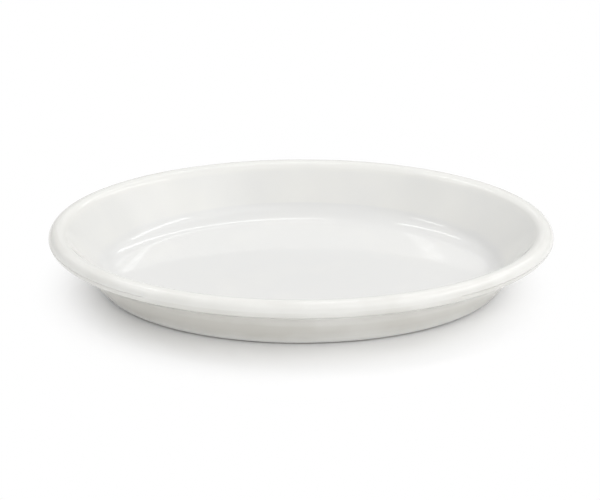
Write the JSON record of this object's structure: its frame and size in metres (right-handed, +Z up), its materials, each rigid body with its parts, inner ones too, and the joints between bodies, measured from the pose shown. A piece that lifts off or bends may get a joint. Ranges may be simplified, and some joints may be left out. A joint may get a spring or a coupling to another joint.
{
  "type": "gratin dish",
  "caption": "Shallow oval gratin dish with flared walls, a rolled rim bead, a coved well and a flat foot ring, in glazed ceramic.",
  "frame": {"origin": "middle of the foot's underside, on the surface that the dish stands on", "axes": "+X along the dish, +Y across it, +Z up out of the well"},
  "size_m": [0.28, 0.185, 0.034],
  "materials": {
    "bare_clay": "matt, fired and unglazed",
    "white_glaze": "glossy"
  },
  "bodies": {
    "root": {"dish_body": "bare_clay", "glaze_coat": "white_glaze", "recess_glaze": "white_glaze"}
  },
  "joints": []
}
